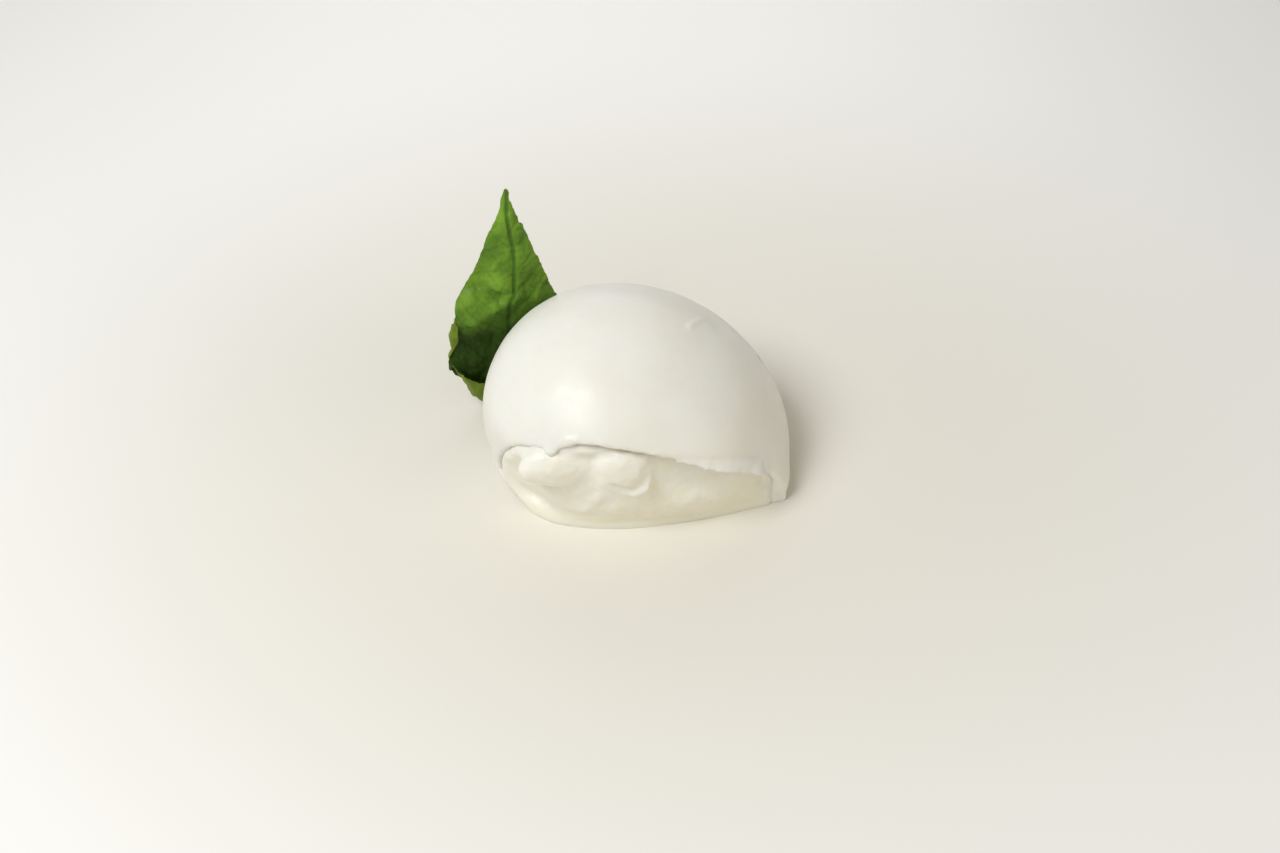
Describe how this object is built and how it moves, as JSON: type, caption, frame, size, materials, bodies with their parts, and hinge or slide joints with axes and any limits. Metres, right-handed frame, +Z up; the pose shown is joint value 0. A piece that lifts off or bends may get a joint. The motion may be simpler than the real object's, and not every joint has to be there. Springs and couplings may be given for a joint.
{
  "type": "mozzarella ball",
  "caption": "Fresh mozzarella ball resting on its flat foot, its skin torn open at the front over soft curd, with a basil leaf standing at its back.",
  "frame": {"origin": "middle of the underside of the whole object's box, on the surface that the ball rests on", "axes": "+Z up, -Y towards the torn open front, +X to the right when looking at the front"},
  "size_m": [0.0982, 0.0806, 0.0701],
  "materials": {
    "skin": "smooth moist milk-white cheese skin with a soft sheen",
    "curd": "soft wet cream-white curd, lightly stringy and lumpy",
    "basil_leaf": "glossy dark green leaf, paler underneath and along its veins"
  },
  "bodies": {
    "root": {"skin": "skin", "curd": "curd", "basil_leaf": "basil_leaf"}
  },
  "joints": []
}
